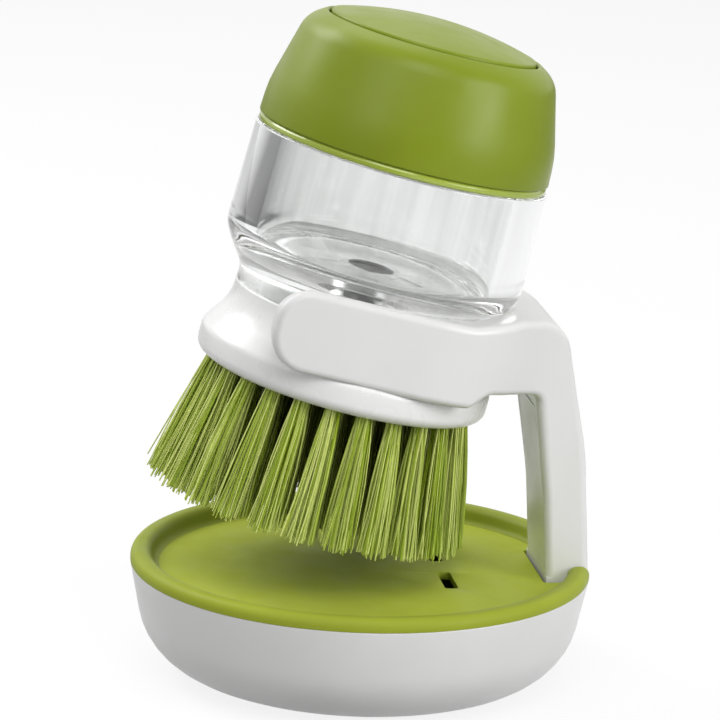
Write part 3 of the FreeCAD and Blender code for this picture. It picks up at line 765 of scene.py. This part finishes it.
def button_section():
    """Section of the domed button with its skirt, catch flange and boss."""
    apex = CROWN_EDGE + BUTTON_CROWN
    flange_top = CAP_LIP_LOW - BUTTON_STOP_GAP
    flange_low = flange_top - BUTTON_FLANGE
    skirt_bore = BUTTON_RADIUS - BUTTON_WALL
    boss_low = BELLOWS_TOP + BELLOWS_GAP
    under = [corner for corner in reversed(dome(skirt_bore, apex, BUTTON_WALL)) if corner[0] > BUTTON_BOSS]
    return [
        (BUTTON_BOSS, boss_low, EDGE_ROUND),
        (BUTTON_BOSS, under[0][1], 0),
        *under,
        (skirt_bore, under[-1][1], 0),
        (skirt_bore, flange_low, EDGE_ROUND),
        (BUTTON_FLANGE_RADIUS, flange_low, EDGE_ROUND),
        (BUTTON_FLANGE_RADIUS, flange_top, EDGE_ROUND),
        (BUTTON_RADIUS, flange_top, 0),
        (BUTTON_RADIUS, CROWN_EDGE, BUTTON_EDGE_ROUND),
        *dome(BUTTON_RADIUS, apex, 0),
        (0, boss_low, 0),
    ]


def bellows_section():
    """Section of the soft pump bellows with its folds and foot flange."""
    low = DECK_TOP + BELLOWS_WALL
    step = (BELLOWS_TOP - BELLOWS_WALL - low) / (2 * BELLOWS_FOLDS)
    outside = [(BELLOWS_RADIUS, low, BELLOWS_FOLD_ROUND)]
    for i in range(2 * BELLOWS_FOLDS):
        inset = BELLOWS_FOLD if i % 2 == 0 else 0
        outside.append((BELLOWS_RADIUS - inset, low + (i + 1) * step, BELLOWS_FOLD_ROUND))
    wall = [(radius - BELLOWS_WALL, height, turn) for radius, height, turn in reversed(outside)]
    wall[-1] = (BELLOWS_RADIUS - BELLOWS_WALL, DECK_TOP, 0)
    return outside + [
        (BELLOWS_RADIUS, BELLOWS_TOP, BELLOWS_FOLD_ROUND),
        (0, BELLOWS_TOP, 0),
        (0, BELLOWS_TOP - BELLOWS_WALL, 0),
        *wall,
        (BELLOWS_FLANGE, DECK_TOP, EDGE_ROUND),
        (BELLOWS_FLANGE, low, EDGE_ROUND),
    ]


def drip_tray():
    """Tray with its notch for the leg and its two drains cut out."""
    tray = lathe("tray_body", tray_section())
    far = BASE_RADIUS + CUT_OVERRUN
    half = LEG_HALF + NOTCH_GAP
    near = LEG_INNER - NOTCH_GAP
    low = TRAY_SKIRT_LOW - CUT_OVERRUN
    high = TRAY_RIM_TOP + CUT_OVERRUN
    notch = [(near, -half, NOTCH_GAP), (far, -half, 0), (far, half, 0), (near, half, NOTCH_GAP)]
    cutters = [prism("notch_cutter", notch, low, high)]
    for side in (-1, 1):
        first = side * DRAIN_SIDE - DRAIN_LENGTH / 2
        last = side * DRAIN_SIDE + DRAIN_LENGTH / 2
        drain = [
            (DRAIN_FORWARD - DRAIN_WIDTH / 2, first, DRAIN_ROUND),
            (DRAIN_FORWARD + DRAIN_WIDTH / 2, first, DRAIN_ROUND),
            (DRAIN_FORWARD + DRAIN_WIDTH / 2, last, DRAIN_ROUND),
            (DRAIN_FORWARD - DRAIN_WIDTH / 2, last, DRAIN_ROUND),
        ]
        cutters.append(prism("drain_cutter", drain, low, high))
    cut(tray, cutters, ["DIFFERENCE"] * len(cutters))
    return tray


def bowl_socket():
    """Post inside the bowl that takes the tenon of the leg."""
    outer = TENON_HALF + SOCKET_WALL
    post = prism("bowl_socket", [
        (LEG_INNER - SOCKET_WALL, -outer, EDGE_ROUND),
        (LEG_INNER + TENON_THICKNESS + SOCKET_WALL, -outer, EDGE_ROUND),
        (LEG_INNER + TENON_THICKNESS + SOCKET_WALL, outer, EDGE_ROUND),
        (LEG_INNER - SOCKET_WALL, outer, EDGE_ROUND),
    ], 0, PLUG_LOW)
    pocket = prism("pocket_cutter", [
        (LEG_INNER - CLEARANCE, -TENON_HALF - CLEARANCE, 0),
        (LEG_INNER + TENON_THICKNESS + CLEARANCE, -TENON_HALF - CLEARANCE, 0),
        (LEG_INNER + TENON_THICKNESS + CLEARANCE, TENON_HALF + CLEARANCE, 0),
        (LEG_INNER - CLEARANCE, TENON_HALF + CLEARANCE, 0),
    ], TENON_LOW - CLEARANCE, PLUG_LOW + CUT_OVERRUN)
    low = PAD_STANDOUT + BOWL_WALL / 2
    inside = lathe("bowl_form", [
        (0, low, 0),
        (BASE_RADIUS - BOWL_LEAN - BOWL_WALL / 2, low, BOWL_ROUND - BOWL_WALL / 2),
        (BASE_RADIUS - BOWL_WALL / 2, BOWL_HEIGHT, 0),
        (0, BOWL_HEIGHT, 0),
    ])
    cut(post, [inside, pocket], ["INTERSECT", "DIFFERENCE"])
    return post


def thread(name, radius, depth_out):
    """Raised screw threads with sloping flanks and run-out ends, about the Z axis."""
    path = helix(radius, THREAD_START, THREAD_LEAD, THREAD_TURNS)
    crest_half = THREAD_HALF * THREAD_CREST_SHARE
    section = ((-depth_out * THREAD_ROOT_SHARE, -THREAD_HALF), (depth_out, -crest_half))
    section += tuple((depth, -rise) for depth, rise in reversed(section))
    sides = len(section)
    vertices = []
    faces = []
    for start in range(THREAD_STARTS):
        base = len(vertices)
        around = Matrix.Rotation(2 * math.pi * start / THREAD_STARTS, 3, "Z")
        for i, point in enumerate(path):
            fade = min(1, i / THREAD_RUNOUT_STEPS, (len(path) - 1 - i) / THREAD_RUNOUT_STEPS)
            way = Vector((point.x, point.y, 0)).normalized()
            for depth, rise in section:
                corner = point + way * depth * max(fade, THREAD_LEAST_SHARE) + Vector((0, 0, rise))
                vertices.append(around @ corner)
        for i in range(len(path) - 1):
            low = base + i * sides
            for j in range(sides):
                k = (j + 1) % sides
                faces.append((low + j, low + k, low + sides + k, low + sides + j))
        faces.append(tuple(range(base, base + sides)))
        faces.append(tuple(range(len(vertices) - sides, len(vertices))))
    return add_mesh(name, vertices, faces)


def sideways(rng):
    """A level step of about one in a chance direction, never a long one."""
    step = Vector((rng.gauss(0, 1), rng.gauss(0, 1), 0))
    return step * min(1, MOST_SCATTERS / step.length)


def filament_paths(index, rng):
    """Root-to-tip points of every filament in one ring of tufts."""
    ring = TUFT_RINGS[index]
    count = TUFT_COUNTS[index]
    paths = []
    for i in range(count):
        turn = 2 * math.pi * (i + index * RING_STAGGER_SHARE) / count
        outward = Vector((math.cos(turn), math.sin(turn), 0))
        for j in range(TUFT_FILAMENTS[index]):
            spin = j * GOLDEN_TURN + rng.random()
            reach = math.sqrt((j + 0.5) / TUFT_FILAMENTS[index])
            across = Vector((math.cos(spin), math.sin(spin), 0)) * reach
            scatter = STRAY_SCATTER if rng.random() < STRAY_SHARE else TIP_SCATTER
            root = outward * ring + across * TUFT_ROOT
            tip = outward * ring * TIP_SPREAD_SHARE + across * TUFT_TIP
            tip += sideways(rng) * scatter
            tip.z = -BRISTLE_LENGTH + (rng.random() - LONG_TIP_SHARE) * TIP_UNEVEN
            bow = sideways(rng) * FILAMENT_BOW
            path = []
            for k in range(FILAMENT_STEPS + 1):
                share = k / FILAMENT_STEPS
                path.append(root.lerp(tip, share) + bow * math.sin(math.pi * share))
            paths.append(path)
    return paths


def filament_mesh(name, paths):
    """All filaments of a ring as slim tapering rods."""
    vertices = []
    faces = []
    for path in paths:
        base = len(vertices)
        for k, point in enumerate(path):
            radius = FILAMENT_RADIUS * (1 - (1 - TIP_TAPER_SHARE) * k / FILAMENT_STEPS)
            for j in range(FILAMENT_SIDES):
                turn = 2 * math.pi * j / FILAMENT_SIDES
                vertices.append(point + Vector((math.cos(turn), math.sin(turn), 0)) * radius)
        for k in range(FILAMENT_STEPS):
            for j in range(FILAMENT_SIDES):
                low = base + k * FILAMENT_SIDES
                after = (j + 1) % FILAMENT_SIDES
                high = low + FILAMENT_SIDES
                faces.append((low + j, low + after, high + after, high + j))
        faces.append(tuple(range(base, base + FILAMENT_SIDES)))
        faces.append(tuple(range(base + FILAMENT_STEPS * FILAMENT_SIDES, len(vertices))))
    return add_mesh(name, vertices, faces)


def on_tray_floor(radius, height):
    """Whether a place is on the level floor of the tray."""
    return abs(height - TRAY_FLOOR) < LEVEL_TOLERANCE


def in_hollow(radius, height):
    """Whether a place is on the walls of the dry hollow in the tank's spigot."""
    return height < HOLLOW_TOP + EDGE_ROUND and OUTLET_BORE + EDGE_ROUND < radius < SPIGOT_BORE + EDGE_ROUND


def in_outlet(radius, height):
    """Whether a place is on the wall of the outlet's mouth in the tank's floor."""
    return height > HOLLOW_TOP and radius < OUTLET_BORE + EDGE_ROUND


def on_collar(radius, height):
    """Whether a place is on the outside of the cap's collar."""
    return height < CAP_EDGE and radius > CAP_BORE + EDGE_ROUND


def sweep_level(tree, coordinates):
    """White along the middle and for all that the camera sees, grey at the sides for glass and gloss."""
    apart = tree.nodes.new("ShaderNodeSeparateXYZ")
    tree.links.new(coordinates, apart.inputs[0])
    aside = tree.nodes.new("ShaderNodeMath")
    aside.operation = "SUBTRACT"
    aside.inputs[1].default_value = SWEEP_MIDDLE
    tree.links.new(apart.outputs["X"], aside.inputs[0])
    side = tree.nodes.new("ShaderNodeMath")
    side.operation = "ABSOLUTE"
    tree.links.new(aside.outputs[0], side.inputs[0])
    fade = mapped(tree, side.outputs[0], (SWEEP_HALF, SWEEP_HALF + SWEEP_FADE), SWEEP_LEVELS)
    camera_ray = tree.nodes.new("ShaderNodeLightPath").outputs["Is Camera Ray"]
    return either(tree, [camera_ray, fade])


def floor():
    """Floor that looks white to the camera and in glass, keeps a soft shadow and scatters less light."""
    mesh = bpy.data.meshes.new("floor")
    half = FLOOR_SIZE / 2
    corners = [(-half, -half, 0), (half, -half, 0), (half, half, 0), (-half, half, 0)]
    mesh.from_pydata(corners, [], [(0, 1, 2, 3)])
    piece = bpy.data.objects.new("floor", mesh)
    bpy.context.scene.collection.objects.link(piece)
    material, tree, shader, coordinates = material_base("floor_white")
    seen = seen_rays(tree)
    tree.links.new(mapped(tree, seen, (0, 1), (FLOOR_GREY, FLOOR_WHITE)), shader.inputs["Base Color"])
    shader.inputs["Roughness"].default_value = FLOOR_ROUGHNESS
    glow = tree.nodes.new("ShaderNodeEmission")
    tree.links.new(sweep_level(tree, coordinates), glow.inputs["Strength"])
    mix = tree.nodes.new("ShaderNodeMixShader")
    tree.links.new(mapped(tree, seen, (0, 1), (0, FLOOR_GLOW_SHARE)), mix.inputs["Fac"])
    tree.links.new(shader.outputs[0], mix.inputs[1])
    tree.links.new(glow.outputs[0], mix.inputs[2])
    tree.links.new(mix.outputs[0], tree.nodes["Material Output"].inputs["Surface"])
    mesh.materials.append(material)


def seen_rays(tree):
    """One for rays that the camera, gloss or glass sends out, zero for light that is only scattered."""
    path = tree.nodes.new("ShaderNodeLightPath")
    names = ("Is Camera Ray", "Is Glossy Ray", "Is Transmission Ray")
    return either(tree, [path.outputs[name] for name in names])


def backdrop_level(tree):
    """White for the camera, and in glass and gloss white behind the object and dark in front of it."""
    outward = tree.nodes.new("ShaderNodeTexCoord").outputs["Generated"]
    along = tree.nodes.new("ShaderNodeVectorMath")
    along.operation = "DOT_PRODUCT"
    along.inputs[1].default_value = Vector(BACKDROP_WAY).normalized()
    tree.links.new(outward, along.inputs[0])
    fade = mapped(tree, along.outputs["Value"], BACKDROP_ENDS, BACKDROP_LEVELS)
    camera_ray = tree.nodes.new("ShaderNodeLightPath").outputs["Is Camera Ray"]
    return either(tree, [camera_ray, fade])


def world():
    """Room that is white behind the object, and evenly dim for the light it scatters."""
    made = bpy.data.worlds.new("studio")
    made.use_nodes = True
    tree = made.node_tree
    background = tree.nodes["Background"]
    background.inputs["Color"].default_value = (1, 1, 1, 1)
    level = tree.nodes.new("ShaderNodeMix")
    level.inputs["A"].default_value = ROOM_LEVEL
    tree.links.new(seen_rays(tree), level.inputs["Factor"])
    tree.links.new(backdrop_level(tree), level.inputs["B"])
    tree.links.new(level.outputs["Result"], background.inputs["Strength"])
    bpy.context.scene.world = made


def lamp(name, turn, height, size, power):
    """Soft square lamp aimed at the middle of the object."""
    light = bpy.data.lights.new(name, "AREA")
    light.size = size
    light.energy = power
    made = bpy.data.objects.new(name, light)
    toward = Vector((0, -math.cos(math.radians(height)), math.sin(math.radians(height))))
    toward.rotate(Matrix.Rotation(math.radians(turn), 3, "Z"))
    place_at = Vector((0, 0, PARK_HEIGHT)) + toward * LAMP_DISTANCE
    made.matrix_world = Matrix.Translation(place_at) @ toward.to_track_quat("Z", "Y").to_matrix().to_4x4()
    bpy.context.scene.collection.objects.link(made)


def camera():
    """Camera at the photograph's place, aimed along the ray through the middle of the picture."""
    back = Vector((
        math.sin(CAMERA_AZIMUTH) * math.cos(CAMERA_ELEVATION),
        -math.cos(CAMERA_AZIMUTH) * math.cos(CAMERA_ELEVATION),
        math.sin(CAMERA_ELEVATION),
    ))
    right = Vector((math.cos(CAMERA_AZIMUTH), math.sin(CAMERA_AZIMUTH), 0))
    upward = back.cross(right)
    picture_right = right * math.cos(CAMERA_ROLL) + upward * math.sin(CAMERA_ROLL)
    picture_up = upward * math.cos(CAMERA_ROLL) - right * math.sin(CAMERA_ROLL)
    middle = PHOTO_SIDE / 2
    aside = (middle - TARGET_PIXEL[0]) / FOCAL_PIXELS
    above = (TARGET_PIXEL[1] - middle) / FOCAL_PIXELS
    aim_back = (back - picture_right * aside - picture_up * above).normalized()
    aim_right = (picture_right - aim_back * picture_right.dot(aim_back)).normalized()
    aim_up = aim_back.cross(aim_right)
    data = bpy.data.cameras.new("camera")
    data.sensor_width = SENSOR_WIDTH
    data.lens = FOCAL_PIXELS * SENSOR_WIDTH / PHOTO_SIDE
    made = bpy.data.objects.new("camera", data)
    turned = Matrix((aim_right, aim_up, aim_back)).transposed().to_4x4()
    made.matrix_world = Matrix.Translation(CAMERA_TARGET + back * CAMERA_DISTANCE) @ turned
    bpy.context.scene.collection.objects.link(made)
    bpy.context.scene.camera = made


# Materials
finishes = {name: moulded(name, *values) for name, values in MOULDED.items()}
clear = clear_plastic("clear_plastic", CLEAR_ROUGHNESS, STREAK_SHARES)
clear_frost = clear_plastic("frosted_clear_plastic", FROST_ROUGHNESS, STREAK_SHARES)
clear_outlet_painted_shade = clear_plastic("outlet_painted_shade_plastic", OUTLET_ROUGHNESS, OUTLET_PAINTED_SHADE_SHARES)
steel = spring_steel("spring_steel")
filaments = [filament("filaments_" + name, shade) for name, shade in zip(TUFT_NAMES, TUFT_PAINTED_SHADE_SHARES)]

# CAD nodes that stay as they are get their materials
for name, kind in (
    ("stand_arm", "white_plastic"),
    ("leg_cover", "white_plastic"),
    # The plate's near-black colour is painted shade between the tuft roots
    ("bristle_plate", "plate_painted_shade_plastic"),
    ("neck_seal", "silicone"),
    ("outlet_valve", "pad_rubber"),
    ("valve_retainer", "inner_plastic"),
    ("cap_gasket", "silicone"),
    ("clamp_ring", "inner_plastic"),
):
    nodes[name].data.materials.clear()
    nodes[name].data.materials.append(finishes[kind])
    nodes[name].data.shade_smooth()
    nodes[name].data.set_sharp_from_angle(angle=SHARP_ANGLE)

# Stand
white = finishes["white_plastic"]
place(lathe("bowl_body", bowl_section()), "stand", "white_plastic", white, "base_bowl")
place(bowl_socket(), "stand", "white_plastic", white)
place(lathe("pad_disc", pad_section()), "stand", "pad_rubber", finishes["pad_rubber"], "non_slip_pad")
tray = place(drip_tray(), "tray", "green_plastic", finishes["tray_plastic"], "drip_tray")
# The level floor of the tray gets a rougher finish in a lighter green: painted light where the brush shades
# it
refinish(tray, finishes["tray_frosted_painted_light_plastic"], on_tray_floor)

# Brush
head = on_brush(lathe("head_body", head_section()))
place(head, "brush", "white_plastic", finishes["head_plastic"], "brush_head")
tank = place(on_brush(lathe("tank_body", tank_section())), "brush", "clear_plastic", clear, "tank")
refinish(tank, clear_frost, in_hollow, park.inverted())
# The outlet's mouth gets the nearly black clear plastic, painted shade in the bore
refinish(tank, clear_outlet_painted_shade, in_outlet, park.inverted())
place(on_brush(thread("tank_thread", MOUTH_RADIUS, THREAD_DEPTH)), "brush", "clear_plastic", clear)
rng = random.Random(BRISTLE_SEED)
for index, name in enumerate(TUFT_NAMES):
    bundle = filament_mesh(name.replace("tufts", "filaments"), filament_paths(index, rng))
    place(on_brush(bundle), "brush", "bristle_nylon", filaments[index], name)

# Cap, button and pump
green = finishes["green_plastic"]
cap = place(on_brush(lathe("cap_body", cap_section())), "cap", "green_plastic", green, "cap_shell")
# The collar gets a glossier finish in a lighter green, a painted highlight along the band under the cap
refinish(cap, finishes["collar_painted_highlight_plastic"], on_collar, park.inverted())
place(on_brush(lathe("button_body", button_section())), "button", "green_plastic", green, "press_button")
bellows = on_brush(lathe("bellows_body", bellows_section()))
place(bellows, "cap", "silicone", finishes["silicone"], "bellows")
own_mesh(bellows)
spring_low = CLAMP_TOP + SPRING_WIRE
spring_path = helix(SPRING_RADIUS, spring_low, (SPRING_TOP - spring_low) / SPRING_TURNS, SPRING_TURNS)
spring = on_brush(tube("spring_wire", spring_path, SPRING_WIRE, SPRING_SIDES))
place(spring, "cap", "spring_steel", steel, "return_spring")
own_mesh(spring)

# Stage
floor()
world()
for row in LAMPS:
    lamp(*row)
camera()
bpy.context.scene.view_settings.view_transform = "Standard"
